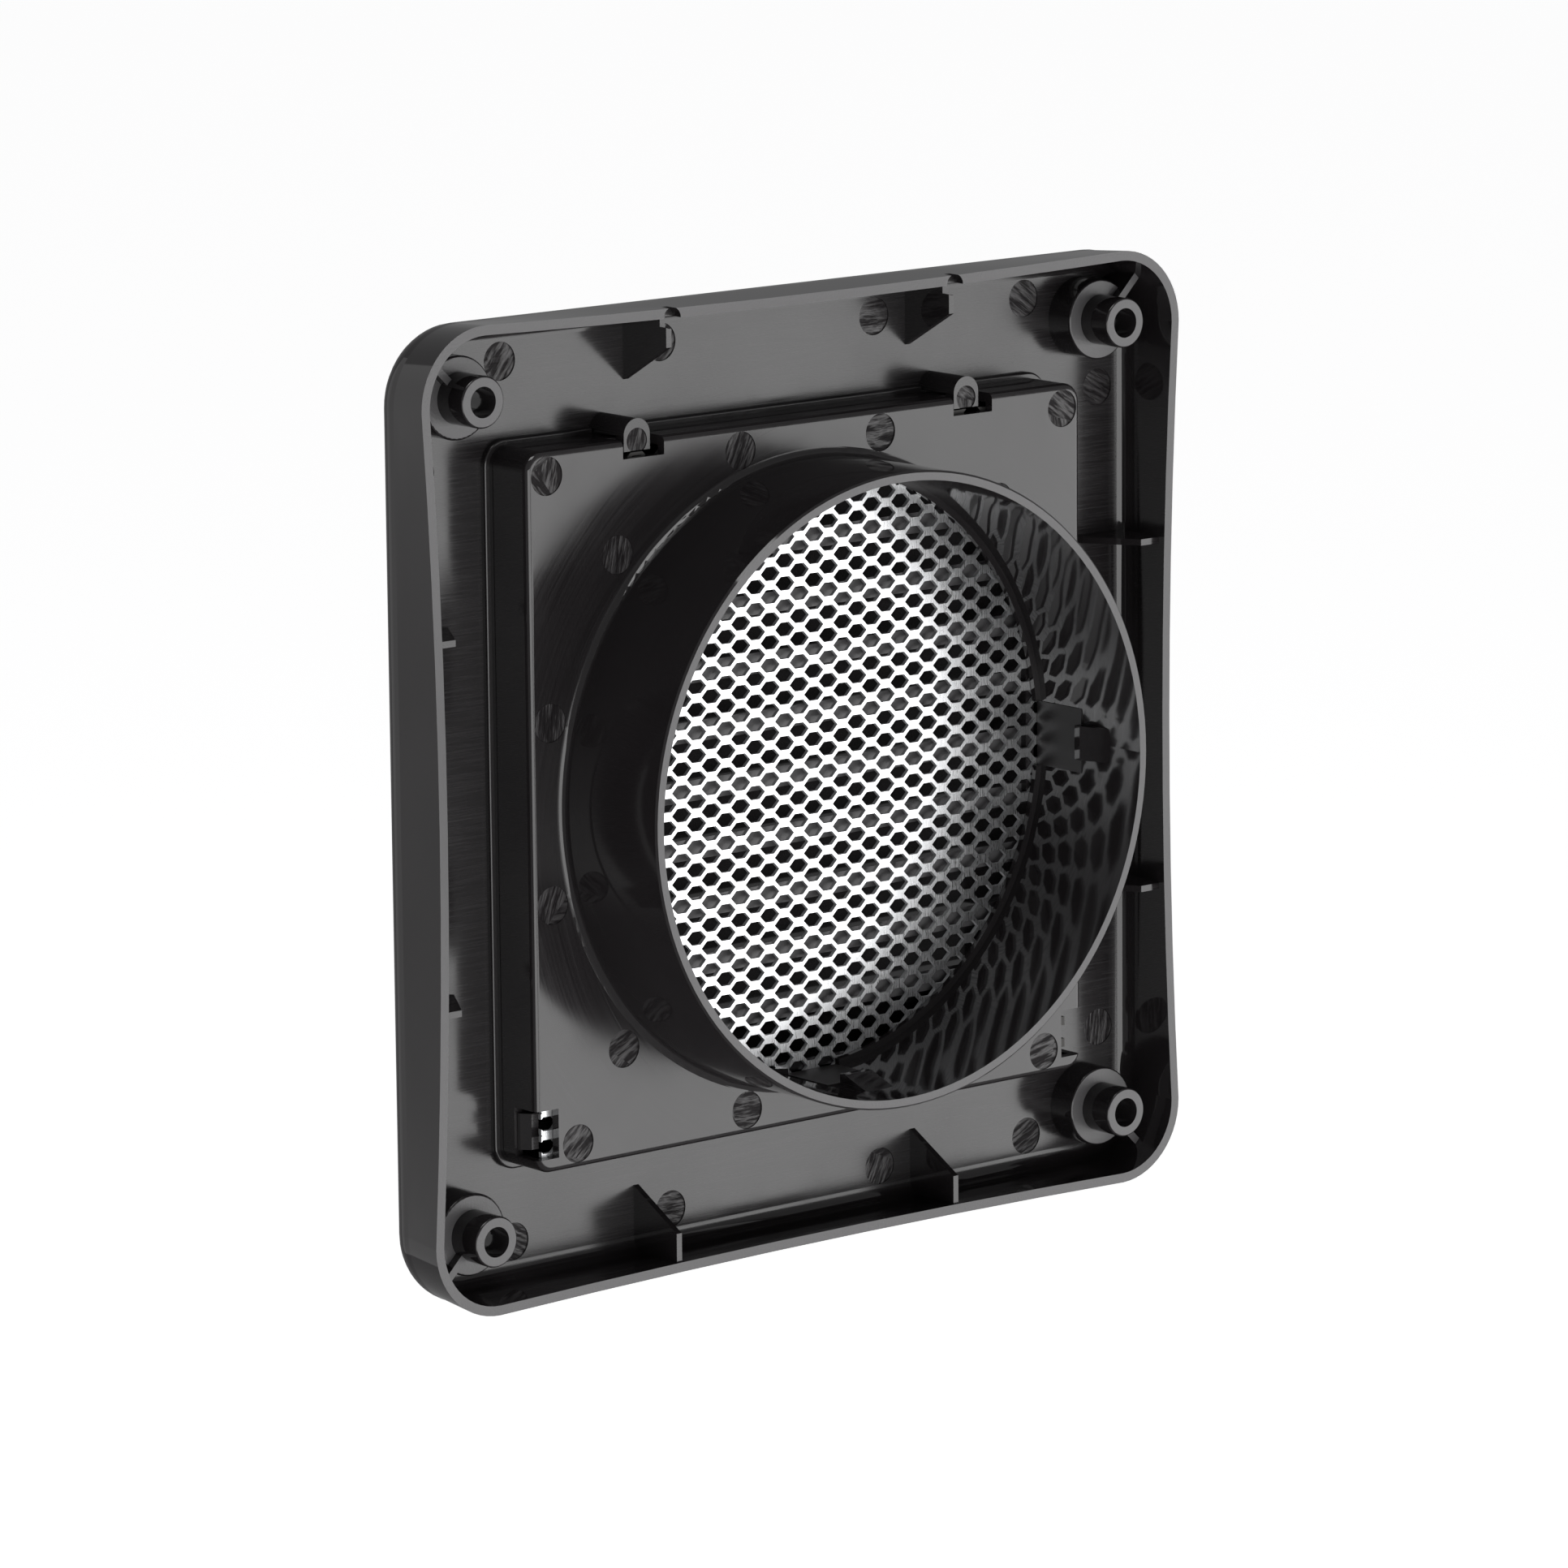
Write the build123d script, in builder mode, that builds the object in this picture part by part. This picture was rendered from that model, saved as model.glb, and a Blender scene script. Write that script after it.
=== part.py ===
"""Square exterior vent grille with a round duct spigot and an insect mesh.

Millimetres, +Z up. The slatted front faces -Y and the duct leaves towards +Y.
The origin is on the duct's axis, in the plane of the skirt's rear edge, where
the cover meets the wall. Three pieces make the object: the front cover, the
plate that carries the spigot, and the expanded mesh clamped between them.
"""

import os

from build123d import *

# ---- overall ----------------------------------------------------------------
spigot_diameter = 98.0        # slides into a 100 mm duct
cover_depth = 12.5            # front face to the skirt's rear edge
spigot_length = 22.2          # out of the plate's rear face
plate_margin = 6.0            # plate round the spigot
cover_margin = 20.0           # cover round the plate

# ---- front cover ------------------------------------------------------------
cover_wall = 1.5              # moulded wall, for the face and the skirt alike
cover_corner_radius = 12.0
cover_draft_inset = 0.5       # how far each side stands in at the front
cover_straight_depth = 5.0    # front part of the skirt, before it leans out
cover_front_round = 4.0       # round between the front face and the skirt
cover_root_round = 2.5        # inner fillet between the face and the skirt
skirt_bow_level = 0.9         # how far the upper and lower rear edges are drawn in
skirt_bow_side = 2.0          # how far the side rear edges are drawn in

# ---- louvres ----------------------------------------------------------------
slat_count = 10
slat_thickness = 2.2
slat_angle = 47.0             # slope of the slats, falling to the outside
slat_set_drop = 0.5           # whole set of slats below the duct's axis
slat_to_mesh = 1.2
opening_margin = 3.5          # opening inside the spigot's diameter, each side
upstand_wall = 1.6            # wall standing round the opening

# ---- screw bosses -----------------------------------------------------------
boss_inset = 11.4             # hole centre to the cover's side, both ways
boss_base_diameter = 12.7
boss_step_depth = 6.0         # from the rear edge forward to the boss's step
boss_tip_diameter = 7.9
boss_edge_round = 0.35        # round on the tip's and the step's outer edges
screw_hole_diameter = 4.7
counterbore_diameter = 9.4
boss_floor = 1.6              # material left under the screw's head
web_thickness = 1.2
web_depth = 4.5               # from the rear edge forward to the web's edge

# ---- gussets on the skirt ---------------------------------------------------
gusset_offset = 28.0          # each side of the middle of every wall
gusset_thickness = 1.0
gusset_root_reach = 10.5      # over the face, from the skirt
gusset_rear_reach = 5.2       # at the rear end, from the skirt
gusset_drop_level = 0.5       # rear end of the upper and lower ones, below the edge
gusset_drop_side = 1.5        # rear end of the side ones, below the edge
relief_radius = 1.65          # half-round relief behind each upper gusset
relief_depth = 2.0
relief_offset = 0.3           # from the gusset's middle to the relief's

# ---- duct plate -------------------------------------------------------------
plate_setback = 1.0           # rear face, forward of the skirt's rear edge
plate_wall = 1.5
plate_corner_radius = 3.0
plate_edge_round = 1.0
flange_reach = 0.9
flange_thickness = 1.0
flange_edge_round = 0.35
spigot_wall = 1.5
spigot_base_round = 1.2
spigot_lip_chamfer = 0.3
ledge_width = 1.1             # ring inside the spigot's root
ledge_thickness = 0.9
shutoff_width = 10.2          # four gaps in the ledge, each before a nib
pad_height = 0.4              # flat pads on the spigot's inner wall
pad_end = 8.9                 # rear end of the pads, from the plate's rear face
nib_width = 5.4
nib_length = 6.4
nib_height = 1.8
nib_flat = 1.2

# ---- snap fits between cover and plate --------------------------------------
hook_offset = 32.7            # hooks, each side of the middle
hook_width = 5.0
hook_rise = 2.9               # crown above the plate's upper side
hook_head_depth = 2.6         # from the rear edge forward to the head
hook_head_thickness = 1.9
hook_hold = 2.0               # how far the head reaches over the plate's side
hook_gap = 0.25               # post to the plate's upper side
hook_rest_gap = 0.1           # head to the side that it holds
notch_width = 7.9
notch_reach = 2.8             # notch into the rear face
window_low = 2.2              # snap windows, above the plate's lower side
window_height = 7.6
window_reach = 4.3            # into the rear face
window_depth = 5.3            # from the plate's rear face forward
arm_width = 5.6
arm_thickness = 1.3
arm_gap = 0.2                 # arm to the plate's inner side
arm_to_mesh = 0.6
barb_reach = 1.2
barb_gap = 0.1                # barb to the window's edge
barb_flat = 0.6
barb_length = 1.9

# ---- ejector marks ----------------------------------------------------------
mark_radius = 2.95
mark_depth = 0.2
hook_mark_radius = 1.95
cover_mark_inset = 7.5        # from the cover's sides
cover_mark_far = 52.0
cover_mark_near = 21.2
plate_mark_inset = 3.8        # from the plate's sides
plate_mark_low_inset = 8.0    # lower ones stand clear of the snap windows
plate_mark_row = 13.9
plate_mark_diagonal = 37.9

# ---- insect mesh ------------------------------------------------------------
mesh_thickness = 0.7
mesh_gap = 0.08               # to the plate behind it and the upstand before it
mesh_edge_gap = 0.7           # to the plate's inner sides
mesh_long_pitch = 5.8         # two columns of holes, along X
mesh_short_pitch = 3.54       # one row of holes, along Z
mesh_shift = (1.28, 1.16)     # from the duct's axis to the nearest hole
mesh_turn = -0.8              # the sheet is cut a little askew to its rows
hole_long = 3.85
hole_short = 2.15
hole_flat = 1.7               # the level edge above and below each hole
least_strand = 0.1            # holes nearer than this to the edge are cut with it

# ---- levels and sizes that follow from the ones above -----------------------
sink = 0.3                    # how far an added feature reaches into its wall
plate_side = spigot_diameter + 2 * plate_margin
cover_side = plate_side + 2 * cover_margin
front = -cover_depth
face_back = front + cover_wall
plate_back = -plate_setback
plate_under = plate_back - plate_wall
mesh_back = plate_under - mesh_gap
mesh_front = mesh_back - mesh_thickness
upstand_back = mesh_front - mesh_gap
slat_back = mesh_front - slat_to_mesh
half_cover = cover_side / 2
half_plate = plate_side / 2
bore_diameter = spigot_diameter - 2 * spigot_wall


def rear_view(y):
    """Plane at depth y seen from behind: local x runs to -X, local y to +Z."""
    return Plane(origin=(0, y, 0), x_dir=(-1, 0, 0), z_dir=(0, 1, 0))


def four(x, z):
    """The four places at plus and minus x and z."""
    return [(x, z), (-x, z), (x, -z), (-x, -z)]


def rim_outline(side, corner, level_bow, side_bow):
    """Lines of a rounded square whose sides are drawn in by the bows at the middle."""
    half = side / 2
    flat = half - corner
    tuck = corner * (1 - 0.5**0.5)
    with BuildLine() as outline:
        for turn, bow in ((0, level_bow), (90, side_bow), (180, level_bow), (270, side_bow)):
            start = Vector(flat, half).rotate(Axis.Z, turn)
            middle = Vector(0, half - bow).rotate(Axis.Z, turn)
            end = Vector(-flat, half).rotate(Axis.Z, turn)
            corner_middle = Vector(tuck - half, half - tuck).rotate(Axis.Z, turn)
            corner_end = Vector(-half, flat).rotate(Axis.Z, turn)
            ThreePointArc(start, middle, end)
            ThreePointArc(end, corner_middle, corner_end)
    return outline.line


# =============================================================================
# Front cover
# =============================================================================
front_side = cover_side - 2 * cover_draft_inset
straight_end = front + cover_straight_depth
inner_front_side = front_side - 2 * cover_wall
inner_corner_radius = cover_corner_radius - cover_wall
least_bow = 0.001             # keeps front and rear outlines the same kind of curve
same = 0.001                  # lengths closer than this are taken as equal

# Space inside the skirt.
with BuildPart() as skirt_room:
    with BuildSketch(rear_view(face_back)):
        RectangleRounded(inner_front_side, inner_front_side, inner_corner_radius)
    extrude(amount=straight_end - face_back)
    fillet(skirt_room.faces().sort_by(Axis.Y)[0].edges(), cover_root_round)
    with BuildSketch(rear_view(straight_end)):
        add(rim_outline(inner_front_side, inner_corner_radius, least_bow, least_bow))
        make_face()
    with BuildSketch(rear_view(0)):
        inner_rear_side = cover_side - 2 * cover_wall
        add(rim_outline(inner_rear_side, inner_corner_radius, skirt_bow_level, skirt_bow_side))
        make_face()
    loft()

opening_side = spigot_diameter - 2 * opening_margin
slat_pitch = opening_side / slat_count
slat_run = slat_back - front
slope = Vector(1, 0, 0).rotate(Axis.Z, slat_angle)
slat_rise = slat_run * slope.Y / slope.X
slat_cut = slat_thickness / slope.X
upstand_side = opening_side + 2 * upstand_wall

boss_offset = half_cover - boss_inset

# Distances from the axis of the skirt's inner side: at the middle of a side, at a
# corner, and along a gusset at the rear edge.
side_inner_front = inner_front_side / 2
corner_inner_front = (side_inner_front - inner_corner_radius) * 2**0.5 + inner_corner_radius
bow_share = 1 - (gusset_offset / (half_cover - cover_corner_radius)) ** 2
gusset_root_at = side_inner_front - gusset_root_reach
gusset_rear_at = half_cover - cover_wall - gusset_rear_reach


def wall_points(inner_front):
    """Points in the middle of the wall, from the face round into the skirt.

    inner_front is the distance from the axis to the skirt's inner side there. Each
    point gives Y first and the distance from the axis second.
    """
    turn_y = face_back + cover_root_round
    turn_out = inner_front - cover_root_round
    middle = cover_root_round + cover_wall / 2
    return [
        (face_back - sink, turn_out),
        (turn_y - middle * 0.5**0.5, turn_out + middle * 0.5**0.5),
        (turn_y, turn_out + middle),
    ]


def gusset_profile(drop, bow):
    """Outline of a gusset with Y first and the distance from the axis second."""
    Polyline(
        (face_back - sink, gusset_root_at),
        *wall_points(side_inner_front),
        (-drop, half_cover - cover_wall / 2 - bow * bow_share),
        (-drop, gusset_rear_at),
        (face_back, gusset_root_at),
        close=True,
    )


def web_profile():
    """Outline of a web from a boss's middle to its corner, in the same order."""
    Polyline(
        (face_back - sink, boss_offset * 2**0.5),
        *wall_points(corner_inner_front),
        (-web_depth, corner_inner_front + cover_wall / 2),
        (-web_depth, boss_offset * 2**0.5),
        close=True,
    )


hook_crown = half_plate + hook_rise
hook_round = hook_width / 2
hook_foot = half_plate + hook_gap
hook_tip = half_plate - hook_hold
hook_back = -hook_head_depth
hook_under = hook_back - hook_head_thickness


def hook_outline(lower):
    """Round-topped hook section from its crown down to the height lower."""
    with Locations((-hook_offset, 0), (hook_offset, 0)):
        with Locations((0, hook_crown - hook_round)):
            Circle(hook_round)
        with Locations((0, (lower + hook_crown - hook_round) / 2)):
            Rectangle(hook_width, abs(hook_crown - hook_round - lower))
    with Locations((0, lower - hook_width)):
        Rectangle(plate_side, 2 * hook_width, mode=Mode.SUBTRACT)


window_middle = half_plate - window_low - window_height / 2
plate_inner_half = half_plate - plate_wall
arm_face = plate_inner_half - arm_gap
window_front = plate_back - window_depth
barb_front = window_front + barb_gap

with BuildPart() as front_cover:
    # Outer body: straight with a rounded front, then out to the bowed rear edge.
    with BuildSketch(rear_view(front)):
        RectangleRounded(front_side, front_side, cover_corner_radius)
    extrude(amount=cover_straight_depth)
    fillet(front_cover.faces().sort_by(Axis.Y)[0].edges(), cover_front_round)
    with BuildSketch(rear_view(straight_end)):
        add(rim_outline(front_side, cover_corner_radius, least_bow, least_bow))
        make_face()
    with BuildSketch(rear_view(0)):
        add(rim_outline(cover_side, cover_corner_radius, skirt_bow_level, skirt_bow_side))
        make_face()
    loft()
    add(skirt_room.part, mode=Mode.SUBTRACT)

    # Upstand round the louvred opening, and the opening itself.
    with BuildSketch(rear_view(face_back - sink)):
        Rectangle(upstand_side, upstand_side)
    extrude(amount=upstand_back - face_back + sink)
    with BuildSketch(rear_view(front - sink)):
        Rectangle(opening_side, opening_side)
    extrude(amount=upstand_back - front + 2 * sink, mode=Mode.SUBTRACT)

    # Slats, cut off upright at both ends.
    for number in range(slat_count):
        height = (number - (slat_count - 1) / 2) * slat_pitch - slat_set_drop
        low = height - slat_rise / 2
        high = height + slat_rise / 2
        with BuildSketch(Plane.YZ):
            with BuildLine():
                Polyline(
                    (front, low - slat_cut / 2),
                    (slat_back, high - slat_cut / 2),
                    (slat_back, high + slat_cut / 2),
                    (front, low + slat_cut / 2),
                    close=True,
                )
            make_face()
        extrude(amount=opening_side / 2 + sink, both=True)

    # Screw bosses, each tied to its corner by a web.
    with BuildSketch(rear_view(face_back - sink)):
        with Locations(four(boss_offset, boss_offset)):
            Circle(boss_base_diameter / 2)
    extrude(amount=-boss_step_depth - face_back + sink)
    with BuildSketch(rear_view(-boss_step_depth - sink)):
        with Locations(four(boss_offset, boss_offset)):
            Circle(boss_tip_diameter / 2)
    extrude(amount=boss_step_depth + sink)
    for rim_level, step_diameter in ((0, boss_tip_diameter), (-boss_step_depth, boss_base_diameter)):
        rings = front_cover.edges().filter_by(GeomType.CIRCLE)
        rings = rings.filter_by(lambda edge: abs(edge.radius - step_diameter / 2) < same)
        rings = rings.filter_by(lambda edge: abs(edge.center().Y - rim_level) < same)
        fillet(rings, boss_edge_round)
    for turn in (45, 135, 225, 315):
        outward = Vector(1, 0, 0).rotate(Axis.Y, turn)
        across = Vector(0, 1, 0).cross(outward)
        with BuildSketch(Plane(origin=(0, 0, 0), x_dir=(0, 1, 0), z_dir=across)):
            with BuildLine():
                web_profile()
            make_face()
        extrude(amount=web_thickness / 2, both=True)
    with BuildSketch(rear_view(front - sink)):
        with Locations(four(boss_offset, boss_offset)):
            Circle(screw_hole_diameter / 2)
    extrude(amount=cover_depth + 2 * sink, mode=Mode.SUBTRACT)
    with BuildSketch(rear_view(front - sink)):
        with Locations(four(boss_offset, boss_offset)):
            Circle(counterbore_diameter / 2)
    extrude(amount=cover_depth - boss_step_depth - boss_floor + sink, mode=Mode.SUBTRACT)

    # Gussets: two on each wall.
    for along in (-gusset_offset, gusset_offset):
        for way in (-1, 1):
            with BuildSketch(Plane(origin=(along, 0, 0), x_dir=(0, 1, 0), z_dir=(way, 0, 0))):
                with BuildLine():
                    gusset_profile(gusset_drop_level, skirt_bow_level)
                make_face()
            extrude(amount=gusset_thickness / 2, both=True)
            with BuildSketch(Plane(origin=(0, 0, along), x_dir=(0, 1, 0), z_dir=(0, 0, way))):
                with BuildLine():
                    gusset_profile(gusset_drop_side, skirt_bow_side)
                make_face()
            extrude(amount=gusset_thickness / 2, both=True)

    # Half-round relief in the upper edge, behind each upper gusset.
    relief_height = half_cover - cover_wall - skirt_bow_level * bow_share
    with BuildSketch(rear_view(-relief_depth)):
        for along in (-gusset_offset, gusset_offset):
            with Locations((along + relief_offset, relief_height)):
                Circle(relief_radius)
    extrude(amount=relief_depth + sink, mode=Mode.SUBTRACT)

    # Upper hooks: a post behind the plate's upper side with a head over it.
    with BuildSketch(rear_view(face_back - sink)):
        hook_outline(hook_foot)
    extrude(amount=hook_back - face_back + sink)
    with BuildSketch(rear_view(hook_under)):
        hook_outline(hook_tip)
    extrude(amount=hook_head_thickness)
    with BuildSketch(rear_view(hook_back - mark_depth)):
        with Locations((-hook_offset, half_plate - 0.5), (hook_offset, half_plate - 0.5)):
            Circle(hook_mark_radius)
    extrude(amount=mark_depth + sink, mode=Mode.SUBTRACT)

    # Lower snap arms with barbs, one in each lower side window.
    for side in (-1, 1):
        with BuildSketch(Plane.XY.offset(-window_middle)):
            with BuildLine():
                Polyline(
                    (side * (arm_face - arm_thickness), face_back - sink),
                    (side * arm_face, face_back - sink),
                    (side * arm_face, barb_front),
                    (side * (arm_face + barb_reach), barb_front),
                    (side * (arm_face + barb_reach), barb_front + barb_flat),
                    (side * arm_face, barb_front + barb_length),
                    (side * (arm_face - arm_thickness), barb_front + barb_length),
                    close=True,
                )
            make_face()
        extrude(amount=arm_width / 2, both=True)

    # Shallow ejector marks on the inside of the face.
    edge_mark = half_cover - cover_mark_inset
    with BuildSketch(rear_view(face_back - mark_depth)):
        with Locations(
            *four(cover_mark_far, edge_mark),
            *four(cover_mark_near, edge_mark),
            *four(edge_mark, cover_mark_far),
        ):
            Circle(mark_radius)
    extrude(amount=mark_depth, mode=Mode.SUBTRACT)

front_cover.part.label = "front_cover"

# =============================================================================
# Duct plate
# =============================================================================
bore_radius = bore_diameter / 2
spigot_end = plate_back + spigot_length
ledge_back = plate_under + ledge_thickness
pad_face = bore_radius - pad_height
nib_front = plate_back + pad_end
nib_tip = bore_radius - nib_height

with BuildPart() as duct_plate:
    # Open-fronted box with a flange at its foot.
    with BuildSketch(rear_view(face_back)):
        RectangleRounded(
            plate_side + 2 * flange_reach,
            plate_side + 2 * flange_reach,
            plate_corner_radius + flange_reach,
        )
    extrude(amount=flange_thickness)
    fillet(duct_plate.faces().sort_by(Axis.Y)[-1].edges(), flange_edge_round)
    with BuildSketch(rear_view(face_back)):
        RectangleRounded(plate_side, plate_side, plate_corner_radius)
    extrude(amount=plate_back - face_back)
    fillet(duct_plate.faces().sort_by(Axis.Y)[-1].edges(), plate_edge_round)
    with BuildSketch(rear_view(face_back)):
        Rectangle(2 * plate_inner_half, 2 * plate_inner_half)
    extrude(amount=plate_under - face_back, mode=Mode.SUBTRACT)

    # Spigot with a rounded root and a broken lip.
    with BuildSketch(rear_view(plate_back)):
        Circle(spigot_diameter / 2)
    extrude(amount=spigot_length)
    round_edges = duct_plate.edges().filter_by(GeomType.CIRCLE).group_by(SortBy.RADIUS)[-1]
    fillet(round_edges.sort_by(Axis.Y)[0], spigot_base_round)
    round_edges = duct_plate.edges().filter_by(GeomType.CIRCLE).group_by(Axis.Y)[-1]
    chamfer(round_edges, spigot_lip_chamfer)
    # Bore: round at the lip, with four flat pads further in, down to the ledge.
    with BuildSketch(rear_view(nib_front)):
        Circle(bore_radius)
    extrude(amount=spigot_end - nib_front + sink, mode=Mode.SUBTRACT)
    with BuildSketch(rear_view(ledge_back)):
        Circle(bore_radius)
        with PolarLocations(pad_face + pad_height, 4):
            Rectangle(2 * pad_height, shutoff_width, mode=Mode.SUBTRACT)
    extrude(amount=nib_front - ledge_back, mode=Mode.SUBTRACT)

    # Ledge, with a gap before each pad.
    with BuildSketch(rear_view(plate_under - sink)):
        Circle(bore_radius - ledge_width)
        Rectangle(2 * pad_face, shutoff_width)
        Rectangle(shutoff_width, 2 * pad_face)
    extrude(amount=ledge_back - plate_under + sink, mode=Mode.SUBTRACT)

    # Wedge-shaped nibs that hold a round insert against the ledge.
    for turn in (0, 90, 180, 270):
        outward = Vector(1, 0, 0).rotate(Axis.Y, turn)
        across = outward.cross(Vector(0, 1, 0))
        with BuildSketch(Plane(origin=(0, 0, 0), x_dir=outward, z_dir=across)):
            with BuildLine():
                Polyline(
                    (bore_radius + sink, nib_front),
                    (nib_tip, nib_front),
                    (nib_tip, nib_front + nib_flat),
                    (bore_radius, nib_front + nib_length),
                    (bore_radius + sink, nib_front + nib_length),
                    close=True,
                )
            make_face()
        extrude(amount=nib_width / 2, both=True)

    # Notches for the upper hooks, in the rear face and the upper side.
    notch_front = hook_under - hook_rest_gap
    with BuildSketch(rear_view(notch_front)):
        with Locations((-hook_offset, half_plate), (hook_offset, half_plate)):
            Rectangle(notch_width, 2 * notch_reach)
    extrude(amount=plate_back - notch_front + sink, mode=Mode.SUBTRACT)
    with BuildSketch(rear_view(face_back)):
        with Locations((-hook_offset, hook_foot), (hook_offset, hook_foot)):
            Rectangle(hook_width + 2 * hook_gap, 2 * hook_gap)
        with Locations((-hook_offset, hook_crown), (hook_offset, hook_crown)):
            Rectangle(hook_width + 2 * hook_gap, 2 * (hook_crown - half_plate))
    extrude(amount=flange_thickness, mode=Mode.SUBTRACT)

    # Windows for the lower snap arms, through the sides and the rear face.
    with BuildSketch(rear_view(window_front)):
        with Locations((-half_plate, -window_middle), (half_plate, -window_middle)):
            Rectangle(2 * window_reach, window_height)
    extrude(amount=window_depth + sink, mode=Mode.SUBTRACT)

    # Shallow ejector marks on the rear face.
    near_side = half_plate - plate_mark_inset
    low_side = half_plate - plate_mark_low_inset
    with BuildSketch(rear_view(plate_back - mark_depth)):
        with Locations(
            (-near_side, near_side),
            (near_side, near_side),
            (-low_side, -near_side),
            (low_side, -near_side),
            *four(plate_mark_row, near_side),
            *four(near_side, plate_mark_row),
            *four(plate_mark_diagonal, plate_mark_diagonal),
        ):
            Circle(mark_radius)
    extrude(amount=mark_depth + sink, mode=Mode.SUBTRACT)

duct_plate.part.label = "duct_plate"

# =============================================================================
# Insect mesh: an expanded sheet with staggered six-sided holes
# =============================================================================
mesh_side = 2 * (plate_inner_half - mesh_edge_gap)
column_step = mesh_long_pitch / 2
columns = int(mesh_side / 2 / column_step) + 2
rows = int(mesh_side / 2 / mesh_short_pitch) + 2


def hexagon():
    """One hole in the sheet, level above and below and pointed at its sides."""
    return Polygon(
        (hole_long / 2, 0),
        (hole_flat / 2, hole_short / 2),
        (-hole_flat / 2, hole_short / 2),
        (-hole_long / 2, 0),
        (-hole_flat / 2, -hole_short / 2),
        (hole_flat / 2, -hole_short / 2),
        mode=Mode.PRIVATE,
    )


whole_holes = []
edge_holes = []
for column in range(-columns, columns + 1):
    for row in range(-rows, rows + 1):
        across = column * column_step
        up = (row + column % 2 / 2) * mesh_short_pitch
        spot = Vector(across, up).rotate(Axis.Z, mesh_turn) + Vector(*mesh_shift)
        place = Location((spot.X, spot.Y, 0), (0, 0, mesh_turn))
        from_edge = mesh_side / 2 - max(abs(spot.X), abs(spot.Y))
        if from_edge > hole_long / 2 + least_strand:
            whole_holes.append(place)
        elif from_edge > -hole_long / 2:
            edge_holes.append(place)

# The sheet's outline, with the holes that its cut edges run through.
with BuildSketch() as sheet:
    Rectangle(mesh_side, mesh_side)
    add([hexagon().face().moved(place) for place in edge_holes], mode=Mode.SUBTRACT)

with BuildPart() as insect_mesh:
    with BuildSketch(rear_view(mesh_front)):
        hole = hexagon().wire()
        cut_edge = sheet.sketch.faces().sort_by(SortBy.AREA)[-1]
        holes = [hole.moved(place) for place in whole_holes]
        add(Face(cut_edge.outer_wire(), [*holes, *cut_edge.inner_wires()]))
    extrude(amount=mesh_thickness)

insect_mesh.part.label = "insect_mesh"

# =============================================================================
# Files
# =============================================================================
os.makedirs("parts", exist_ok=True)
export_step(front_cover.part, "parts/front_cover.step")
export_step(duct_plate.part, "parts/duct_plate.step")
export_step(insect_mesh.part, "parts/insect_mesh.step")
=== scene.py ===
"""Looks, floor, light and camera for a square black vent grille seen from behind.

Metres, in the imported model's own frame: +Z up, the slatted front facing -Y, the
duct leaving towards +Y, and the origin on the duct's axis at the wall's surface.
"""

import math

import bpy
from mathutils import Matrix, Vector


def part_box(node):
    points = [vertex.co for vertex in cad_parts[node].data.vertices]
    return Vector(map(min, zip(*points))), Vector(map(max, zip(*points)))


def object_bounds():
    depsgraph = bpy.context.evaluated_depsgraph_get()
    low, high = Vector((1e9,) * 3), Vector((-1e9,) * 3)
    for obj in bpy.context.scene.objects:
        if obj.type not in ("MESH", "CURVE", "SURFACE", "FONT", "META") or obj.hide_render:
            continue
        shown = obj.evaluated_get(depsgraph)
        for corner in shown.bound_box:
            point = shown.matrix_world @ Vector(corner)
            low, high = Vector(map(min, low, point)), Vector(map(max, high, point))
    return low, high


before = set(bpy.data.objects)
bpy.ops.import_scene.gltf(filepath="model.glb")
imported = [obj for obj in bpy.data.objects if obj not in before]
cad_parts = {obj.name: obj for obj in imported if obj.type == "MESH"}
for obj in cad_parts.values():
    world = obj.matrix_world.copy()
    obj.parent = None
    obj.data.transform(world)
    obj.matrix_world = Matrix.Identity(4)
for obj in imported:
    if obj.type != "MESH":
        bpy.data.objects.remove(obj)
cad_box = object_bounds()
MM = 0.001


# ---- small helpers ----------------------------------------------------------
def linear(hex_colour):
    """sRGB hex to linear RGBA."""
    channels = [int(hex_colour[i : i + 2], 16) / 255 for i in (1, 3, 5)]
    return (*(c / 12.92 if c <= 0.04045 else ((c + 0.055) / 1.055) ** 2.4 for c in channels), 1)


def add_node(tree, kind, inputs=None, **settings):
    """Adds a shader node; inputs maps a socket's name or number to a value or an output."""
    made = tree.nodes.new(kind)
    for name, value in settings.items():
        setattr(made, name, value)
    for name, value in (inputs or {}).items():
        if isinstance(value, bpy.types.NodeSocket):
            tree.links.new(value, made.inputs[name])
        else:
            made.inputs[name].default_value = value
    return made


def new_material(name):
    """An empty node material and its tree."""
    material = bpy.data.materials.new(name)
    material.use_nodes = True
    material.node_tree.nodes.clear()
    return material, material.node_tree


def finish_with(tree, surface):
    """Joins a Principled surface to the material's output."""
    add_node(tree, "ShaderNodeOutputMaterial", {"Surface": surface.outputs["BSDF"]})


def spread(values):
    """A coordinate scale for Mapping, from feature sizes in millimetres."""
    return tuple(1 / (value * MM) for value in values)


def paint(node_name, material):
    """Gives a CAD node its finish."""
    thing = bpy.data.objects[node_name]
    thing.data.materials.clear()
    thing.data.materials.append(material)


# ---- black ABS, injection moulded ------------------------------------------
face_slack = 0.03 * MM         # how near a face lies to the depth it belongs to
faces_back = 0.95              # share of +Y in the normal of a face that looks out behind
square_on = 0.9995             # share of X or Z in the normal of a face square to it

abs_ior = 1.54
abs_black = ("#171516", "#201e1f")
streak_colour = "#302e2f"      # along the polishing lines
filed_colour = "#3a3839"       # scuffed plastic between the file strokes
ground_colour = "#4e4d4e"      # matt faces, greyed by fine pits

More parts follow.
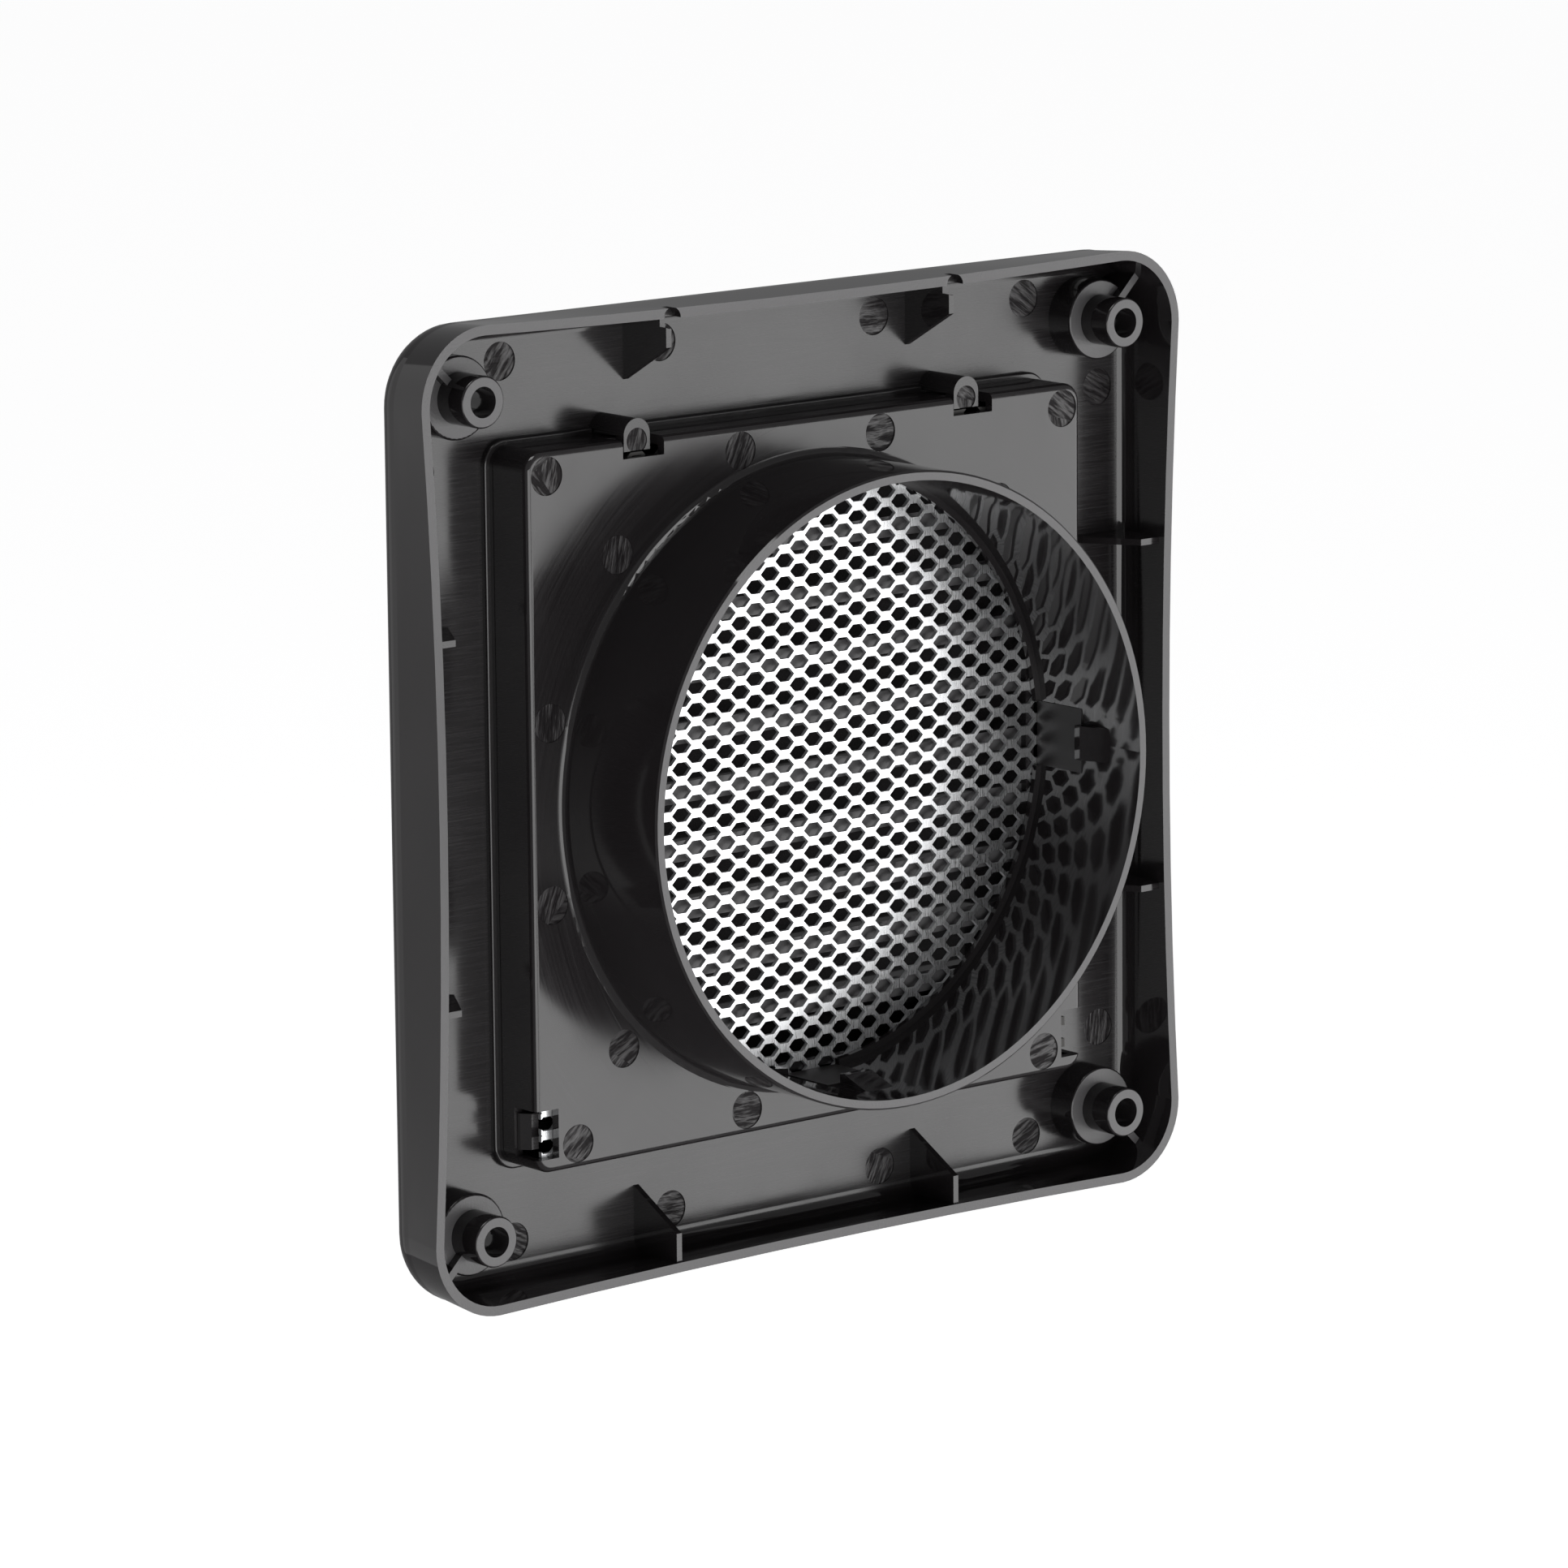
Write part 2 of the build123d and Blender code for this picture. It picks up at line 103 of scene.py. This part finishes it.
wall_gloss = 0.06              # roughness of upright walls, straight off polished steel
line_gloss = (0.16, 0.22)      # of flat faces, which vary from line to line
patch_gloss = (-0.05, 0.06)    # added where the plastic flowed unevenly
pin_gloss = 0.3
pad_gloss = 0.45
ground_gloss = 0.42

ring_spacing = 0.4 * MM        # of the lines that run round the duct
pin_spacing = 24 * MM          # each patch this wide has its own stroke direction
stroke_size = (4.5, 3.0, 0.6)  # one file stroke, in millimetres
pit_size = 0.35 * MM
line_depth = 0.0016 * MM
stroke_depth = 0.3 * MM
pit_depth = 0.05 * MM


def level_mask(tree, depth, facing_back, levels):
    """1 on faces turned to the duct side that lie at one of the depths, in metres."""
    mask = None
    for level in levels:
        mask_here = add_node(
            tree, "ShaderNodeMath", {0: depth, 1: level, 2: face_slack}, operation="COMPARE"
        ).outputs[0]
        if mask is None:
            mask = mask_here
        else:
            mask = add_node(
                tree, "ShaderNodeMath", {0: mask, 1: mask_here}, operation="MAXIMUM"
            ).outputs[0]
    return add_node(
        tree, "ShaderNodeMath", {0: mask, 1: facing_back}, operation="MULTIPLY"
    ).outputs[0]


def pad_mask(tree, place):
    """1 on the flat pads in the spigot, which stand square to X or Z at pad_reach."""
    sizes = []
    for output in ("Normal", "Object"):
        plain = add_node(
            tree, "ShaderNodeVectorMath", {0: place[output]}, operation="ABSOLUTE"
        ).outputs[0]
        parts = add_node(tree, "ShaderNodeSeparateXYZ", {0: plain}).outputs
        larger = add_node(
            tree, "ShaderNodeMath", {0: parts["X"], 1: parts["Z"]}, operation="MAXIMUM"
        )
        sizes.append(larger.outputs[0])
    square = add_node(
        tree, "ShaderNodeMath", {0: sizes[0], 1: square_on}, operation="GREATER_THAN"
    ).outputs[0]
    there = add_node(
        tree, "ShaderNodeMath", {0: sizes[1], 1: pad_reach, 2: face_slack}, operation="COMPARE"
    ).outputs[0]
    return add_node(
        tree, "ShaderNodeMath", {0: square, 1: there}, operation="MULTIPLY"
    ).outputs[0]


def round_lines(tree, spot):
    """Coordinates for lines that run round the duct."""
    flat = add_node(
        tree, "ShaderNodeVectorMath", {0: spot, 1: (1, 0, 1)}, operation="MULTIPLY"
    ).outputs[0]
    reach = add_node(
        tree, "ShaderNodeVectorMath", {0: flat}, operation="LENGTH"
    ).outputs["Value"]
    count = add_node(
        tree, "ShaderNodeMath", {0: reach, 1: ring_spacing}, operation="DIVIDE"
    ).outputs[0]
    ring = add_node(tree, "ShaderNodeCombineXYZ", {"Y": count}).outputs[0]
    heading = add_node(
        tree, "ShaderNodeVectorMath", {0: flat}, operation="NORMALIZE"
    ).outputs[0]
    # Doubled, so that each line keeps its shade for about a twelfth of a turn.
    heading = add_node(
        tree, "ShaderNodeVectorMath", {0: heading, 1: (2, 2, 2)}, operation="MULTIPLY"
    ).outputs[0]
    return add_node(
        tree, "ShaderNodeVectorMath", {0: ring, 1: heading}, operation="ADD"
    ).outputs[0]


def polishing_lines(tree, place, line_size, swirl):
    """The mould's polishing lines, from 0 to 1, long one way and fine the other."""
    wander = add_node(
        tree, "ShaderNodeTexNoise", {"Vector": place["Object"], "Scale": 18.0, "Detail": 1.0}
    ).outputs["Color"]
    bend = add_node(
        tree, "ShaderNodeVectorMath", {0: wander, 1: (swirl * MM,) * 3}, operation="MULTIPLY"
    ).outputs[0]
    bent = add_node(
        tree, "ShaderNodeVectorMath", {0: place["Object"], 1: bend}, operation="ADD"
    ).outputs[0]
    if line_size is None:
        lines_place = round_lines(tree, bent)
    else:
        lines_place = add_node(
            tree, "ShaderNodeMapping", {"Vector": bent, "Scale": spread(line_size)}
        ).outputs[0]
    return add_node(
        tree,
        "ShaderNodeTexNoise",
        {"Vector": lines_place, "Scale": 1.0, "Detail": 4.0, "Roughness": 0.65},
    ).outputs["Fac"]


def file_strokes(tree, place):
    """Strokes from 0 to 1, turned another way on each pin's end."""
    cell = add_node(
        tree, "ShaderNodeTexVoronoi", {"Vector": place["Object"], "Scale": 1 / pin_spacing}
    ).outputs["Color"]
    pick = add_node(tree, "ShaderNodeSeparateXYZ", {0: cell}).outputs["X"]
    angle = add_node(
        tree, "ShaderNodeMath", {0: pick, 1: 2 * math.pi}, operation="MULTIPLY"
    ).outputs[0]
    turned = add_node(
        tree,
        "ShaderNodeVectorRotate",
        {"Vector": place["Object"], "Angle": angle},
        rotation_type="Y_AXIS",
    ).outputs[0]
    strokes_place = add_node(
        tree, "ShaderNodeMapping", {"Vector": turned, "Scale": spread(stroke_size)}
    ).outputs[0]
    return add_node(
        tree,
        "ShaderNodeTexNoise",
        {"Vector": strokes_place, "Scale": 1.0, "Detail": 3.0, "Roughness": 0.6},
    ).outputs["Fac"]


def moulded_abs(name, line_size, swirl, line_strength, ground_levels, mark_levels):
    """Glossy black ABS. The tool's polishing lines show as fine streaks in the gloss.

    line_size gives one line's size in millimetres along X, Y and Z, or None where the
    lines run round the duct. swirl is how far they wander, in millimetres, and
    line_strength how plainly they show. The faces at ground_levels come out matt and
    paler, with small pits. Those at mark_levels are ejector pins' ends, filed across.
    The flat pads in the spigot are matt and dark.
    """
    material, tree = new_material(name)
    place = add_node(tree, "ShaderNodeTexCoord").outputs
    depth = add_node(tree, "ShaderNodeSeparateXYZ", {0: place["Object"]}).outputs["Y"]
    facing = add_node(tree, "ShaderNodeSeparateXYZ", {0: place["Normal"]}).outputs["Y"]
    back = add_node(
        tree, "ShaderNodeMath", {0: facing, 1: faces_back}, operation="GREATER_THAN"
    ).outputs[0]
    ground = level_mask(tree, depth, back, ground_levels)
    mark = level_mask(tree, depth, back, mark_levels)
    pads = pad_mask(tree, place)

    lines = polishing_lines(tree, place, line_size, swirl)
    strokes = file_strokes(tree, place)
    cloud = add_node(
        tree, "ShaderNodeTexNoise", {"Vector": place["Object"], "Scale": 45.0, "Detail": 3.0}
    ).outputs["Fac"]
    pits = add_node(
        tree,
        "ShaderNodeTexNoise",
        {"Vector": place["Object"], "Scale": 1 / pit_size, "Detail": 3.0},
    ).outputs["Fac"]

    # Flat faces turned to the duct side carry the lines; upright walls come out smoother.
    flatness = add_node(
        tree,
        "ShaderNodeMapRange",
        {0: facing, "From Min": 0.85, "From Max": 0.97, "To Min": 0.0, "To Max": 1.0},
    ).outputs[0]
    lined_gloss = add_node(
        tree,
        "ShaderNodeMapRange",
        {0: lines, "From Min": 0.3, "From Max": 0.7, "To Min": line_gloss[0], "To Max": line_gloss[1]},
    ).outputs[0]
    # The gloss also drifts in patches about 20 mm wide.
    patches = add_node(
        tree,
        "ShaderNodeMapRange",
        {0: cloud, "From Min": 0.35, "From Max": 0.65, "To Min": patch_gloss[0], "To Max": patch_gloss[1]},
    ).outputs[0]
    flat_gloss = add_node(
        tree, "ShaderNodeMath", {0: lined_gloss, 1: patches}, operation="ADD"
    ).outputs[0]
    rough = wall_gloss
    for share, roughness in (
        (flatness, flat_gloss),
        (mark, pin_gloss),
        (pads, pad_gloss),
        (ground, ground_gloss),
    ):
        rough = add_node(
            tree, "ShaderNodeMix", {"Factor": share, "A": rough, "B": roughness}
        ).outputs[0]

    streak = add_node(
        tree,
        "ShaderNodeMapRange",
        {0: lines, "From Min": 0.35, "From Max": 0.8, "To Min": 0.0, "To Max": line_strength},
    ).outputs[0]
    streak = add_node(
        tree, "ShaderNodeMath", {0: streak, 1: flatness}, operation="MULTIPLY"
    ).outputs[0]
    filed = add_node(
        tree,
        "ShaderNodeMapRange",
        {0: strokes, "From Min": 0.45, "From Max": 0.65, "To Min": 0.0, "To Max": 1.0},
    ).outputs[0]
    filed = add_node(
        tree, "ShaderNodeMath", {0: filed, 1: mark}, operation="MULTIPLY"
    ).outputs[0]
    shade = linear(abs_black[0])
    for share, colour in (
        (cloud, abs_black[1]),
        (streak, streak_colour),
        (filed, filed_colour),
        (ground, ground_colour),
    ):
        shade = add_node(
            tree,
            "ShaderNodeMix",
            {"Factor": share, "A": shade, "B": linear(colour)},
            data_type="RGBA",
        ).outputs["Result"]

    # The strokes are deep and narrow, so little light gets out of them again.
    groove = add_node(
        tree,
        "ShaderNodeMapRange",
        {0: strokes, "From Min": 0.42, "From Max": 0.58, "To Min": 0.03, "To Max": 0.38},
    ).outputs[0]
    shine = add_node(
        tree, "ShaderNodeMix", {"Factor": mark, "A": 0.5, "B": groove}
    ).outputs[0]

    line_bump = add_node(
        tree,
        "ShaderNodeBump",
        {"Height": lines, "Strength": flatness, "Distance": line_depth * line_strength},
    ).outputs[0]
    stroke_bump = add_node(
        tree,
        "ShaderNodeBump",
        {"Height": strokes, "Strength": mark, "Distance": stroke_depth, "Normal": line_bump},
    ).outputs[0]
    pit_bump = add_node(
        tree,
        "ShaderNodeBump",
        {"Height": pits, "Strength": ground, "Distance": pit_depth, "Normal": stroke_bump},
    ).outputs[0]
    surface = add_node(
        tree,
        "ShaderNodeBsdfPrincipled",
        {
            "Base Color": shade,
            "Roughness": rough,
            "Normal": pit_bump,
            "IOR": abs_ior,
            "Specular IOR Level": shine,
        },
    )
    finish_with(tree, surface)
    return material


# ---- expanded aluminium -----------------------------------------------------
mill_colours = ("#d2d3d5", "#ecedee")
# Painted shade: the dark grey laid on the sheet's upper and -X edges.
painted_shade_colour = "#4b4a49"
rolled_size = (0.16, 0.16, 2.5)  # one rolling line, in millimetres
rolled_gloss = (0.2, 0.42)
rolled_depth = 0.03 * MM
slit_gloss = 0.62                # roughness of the torn sides of the strands
dull_gloss = 0.55
painted_shade_above = 51.4 * MM           # painted shade, dark and rough, on the sheet above this height
painted_shade_beside = -50.4 * MM         # and beyond this towards -X


def expanded_aluminium():
    """Bare aluminium sheet, slit and drawn open. Rolling lines run up the strands."""
    material, tree = new_material("expanded_aluminium")
    place = add_node(tree, "ShaderNodeTexCoord").outputs
    rolled = add_node(
        tree, "ShaderNodeMapping", {"Vector": place["Object"], "Scale": spread(rolled_size)}
    ).outputs[0]
    lines = add_node(
        tree,
        "ShaderNodeTexNoise",
        {"Vector": rolled, "Scale": 1.0, "Detail": 3.0, "Roughness": 0.65},
    ).outputs["Fac"]
    cloud = add_node(
        tree, "ShaderNodeTexNoise", {"Vector": place["Object"], "Scale": 120.0, "Detail": 2.0}
    ).outputs["Fac"]

    # The slit sides of the strands are torn, so they scatter light where the faces mirror it.
    facing = add_node(tree, "ShaderNodeSeparateXYZ", {0: place["Normal"]}).outputs["Y"]
    turned = add_node(tree, "ShaderNodeMath", {0: facing}, operation="ABSOLUTE").outputs[0]
    slit = add_node(
        tree, "ShaderNodeMath", {0: turned, 1: 0.5}, operation="LESS_THAN"
    ).outputs[0]
    # Painted shade: the sheet's upper edge and its -X edge are painted dark grey and made rough,
    # so that they don't shine out of the hooks' notches and the window beside them.
    sides = add_node(tree, "ShaderNodeSeparateXYZ", {0: place["Object"]}).outputs
    above = add_node(
        tree, "ShaderNodeMath", {0: sides["Z"], 1: painted_shade_above}, operation="GREATER_THAN"
    ).outputs[0]
    beside = add_node(
        tree, "ShaderNodeMath", {0: sides["X"], 1: painted_shade_beside}, operation="LESS_THAN"
    ).outputs[0]
    painted_shade_mask = add_node(
        tree, "ShaderNodeMath", {0: above, 1: beside}, operation="MAXIMUM"
    ).outputs[0]

    rough = add_node(
        tree,
        "ShaderNodeMapRange",
        {0: lines, "From Min": 0.3, "From Max": 0.7, "To Min": rolled_gloss[0], "To Max": rolled_gloss[1]},
    ).outputs[0]
    for share, roughness in ((slit, slit_gloss), (painted_shade_mask, dull_gloss)):
        rough = add_node(
            tree, "ShaderNodeMix", {"Factor": share, "A": rough, "B": roughness}
        ).outputs[0]
    # The dark grey mixed in here is painted shade on the sheet's upper and -X edges.
    shade = linear(mill_colours[0])
    for share, colour in ((cloud, mill_colours[1]), (painted_shade_mask, painted_shade_colour)):
        shade = add_node(
            tree,
            "ShaderNodeMix",
            {"Factor": share, "A": shade, "B": linear(colour)},
            data_type="RGBA",
        ).outputs["Result"]
    bump = add_node(
        tree, "ShaderNodeBump", {"Height": lines, "Strength": 0.5, "Distance": rolled_depth}
    ).outputs[0]
    surface = add_node(
        tree,
        "ShaderNodeBsdfPrincipled",
        {"Base Color": shade, "Metallic": 1.0, "Roughness": rough, "Normal": bump},
    )
    finish_with(tree, surface)
    return material


# ---- finishes on the moulded pieces -----------------------------------------
# Depths of the ground faces and pin marks, from the wall's surface.
rim = 0.0
boss_step = -6.0 * MM
slat_edge = -4.48 * MM
cover_pins = -11.2 * MM
hook_pins = -2.8 * MM
plate_pins = -1.2 * MM
pad_reach = 47.1 * MM          # from the duct's axis to the pads
spigot_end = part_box("duct_plate")[1][1]

cover_finish = moulded_abs(
    "moulded_black_abs_cover",
    line_size=(9.0, 9.0, 0.3),
    swirl=0.6,
    line_strength=0.9,
    ground_levels=(rim, boss_step, slat_edge),
    mark_levels=(cover_pins, hook_pins),
)
plate_finish = moulded_abs(
    "moulded_black_abs_plate",
    line_size=None,
    swirl=8.0,
    line_strength=0.55,
    ground_levels=(spigot_end,),
    mark_levels=(plate_pins,),
)
paint("front_cover", cover_finish)
paint("duct_plate", plate_finish)
paint("insect_mesh", expanded_aluminium())


# ---- floor ------------------------------------------------------------------
floor_half = 9.0
floor_drop = 0.45              # below the part's lowest point


def lay_floor():
    """A plain white floor, well below the part, which hangs on a wall in use."""
    level = cad_box[0][2] - floor_drop
    corners = [
        (-floor_half, -floor_half, level),
        (floor_half, -floor_half, level),
        (floor_half, floor_half, level),
        (-floor_half, floor_half, level),
    ]
    mesh = bpy.data.meshes.new("floor")
    mesh.from_pydata(corners, [], [(0, 1, 2, 3)])
    floor = bpy.data.objects.new("floor", mesh)
    bpy.context.scene.collection.objects.link(floor)
    material, tree = new_material("white_floor")
    surface = add_node(
        tree,
        "ShaderNodeBsdfPrincipled",
        {
            "Base Color": linear("#f4f4f4"),
            "Roughness": 0.9,
            "Emission Color": (1, 1, 1, 1),
            "Emission Strength": 0.75,
        },
    )
    finish_with(tree, surface)
    mesh.materials.append(material)
    floor.visible_glossy = False


lay_floor()


# ---- light ------------------------------------------------------------------
def soft_panel(name, toward, distance, width, height, power):
    """A white softbox that stands off in a direction and looks at the part."""
    data = bpy.data.lights.new(name, "AREA")
    data.shape = "RECTANGLE"
    data.size = width
    data.size_y = height
    data.energy = power
    lamp = bpy.data.objects.new(name, data)
    out = Vector(toward).normalized()
    lamp.location = out * distance
    lamp.rotation_mode = "QUATERNION"
    lamp.rotation_quaternion = out.to_track_quat("Z", "Y")
    bpy.context.scene.collection.objects.link(lamp)


# Name, direction from the part, distance, width and height in metres, and watts.
for panel in (
    ("duct_side_panel", (-0.60, 0.77, -0.20), 1.5, 1.9, 0.85, 14.5),
    ("table_side_panel", (0.35, 0.92, -0.20), 1.5, 1.1, 0.85, 8.8),
    ("front_fill", (0.80, -0.58, 0.08), 1.5, 2.3, 2.2, 5.8),
    ("upper_panel", (0.35, 0.3, 1.0), 1.4, 1.0, 0.5, 6),
):
    soft_panel(*panel)

world = bpy.data.worlds.new("studio")
bpy.context.scene.world = world
world.use_nodes = True
world.node_tree.nodes.clear()
sky = add_node(
    world.node_tree, "ShaderNodeBackground", {"Color": linear("#e9e9ea"), "Strength": 0.3}
)
add_node(world.node_tree, "ShaderNodeOutputWorld", {"Surface": sky.outputs[0]})


# ---- camera -----------------------------------------------------------------
# Behind the part, round to its side and a little above it, through a long lens.
turn = math.radians(39.65)     # from straight behind, towards +X
rise = math.radians(10.90)
roll = math.radians(-0.52)
reach = 1.2417
aside = -5.22 * MM             # off the line through the origin
above = -1.79 * MM
sensor = 36.0
lens = 185.7

back = Vector(
    (math.sin(turn) * math.cos(rise), math.cos(turn) * math.cos(rise), math.sin(rise))
)
level = Vector((-math.cos(turn), math.sin(turn), 0))
upright = back.cross(level)
right = level * math.cos(roll) + upright * math.sin(roll)
up = upright * math.cos(roll) - level * math.sin(roll)

camera_data = bpy.data.cameras.new("camera")
camera_data.sensor_width = sensor
camera_data.lens = lens
camera_data.clip_end = 60
camera = bpy.data.objects.new("camera", camera_data)
camera.matrix_world = Matrix((right, up, back)).transposed().to_4x4()
camera.location = back * reach + right * aside + up * above
bpy.context.scene.collection.objects.link(camera)
bpy.context.scene.camera = camera

bpy.context.scene.view_settings.view_transform = "Standard"
